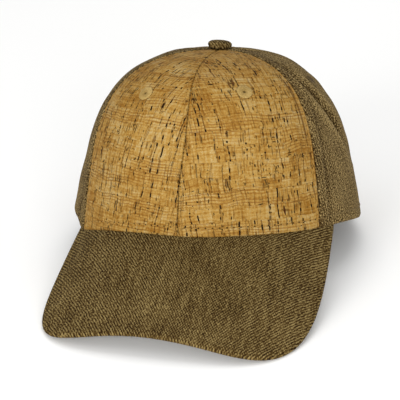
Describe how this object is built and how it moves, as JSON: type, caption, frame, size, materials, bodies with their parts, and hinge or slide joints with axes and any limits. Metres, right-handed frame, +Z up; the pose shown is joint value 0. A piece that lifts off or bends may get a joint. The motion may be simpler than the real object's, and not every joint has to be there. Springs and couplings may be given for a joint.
{
  "type": "six-panel cap",
  "caption": "Soft cap with cork front panels, cloth side and back panels, a curved cloth visor, a covered top button and an arched strap opening at the back.",
  "frame": {"origin": "middle of the underside of the bounding box, on the surface that the cap rests on", "axes": "+Z up, -Y forwards over the visor, +X to the wearer's left"},
  "size_m": [0.1778, 0.2552, 0.1224],
  "materials": {
    "cork": "matte",
    "cloth": "matte",
    "thread": "matte"
  },
  "bodies": {
    "root": {"back_panel_right": "cloth", "side_panel_right": "cloth", "front_panel_right": "cork", "front_panel_left": "cork", "side_panel_left": "cloth", "back_panel_left": "cloth", "eyelet_back_right": "cloth", "eyelet_side_right": "cloth", "eyelet_front_right": "thread", "eyelet_front_left": "thread", "eyelet_side_left": "cloth", "eyelet_back_left": "cloth", "visor": "cloth", "top_button": "cloth", "strap_left": "cloth", "strap_right": "cloth"}
  },
  "joints": []
}
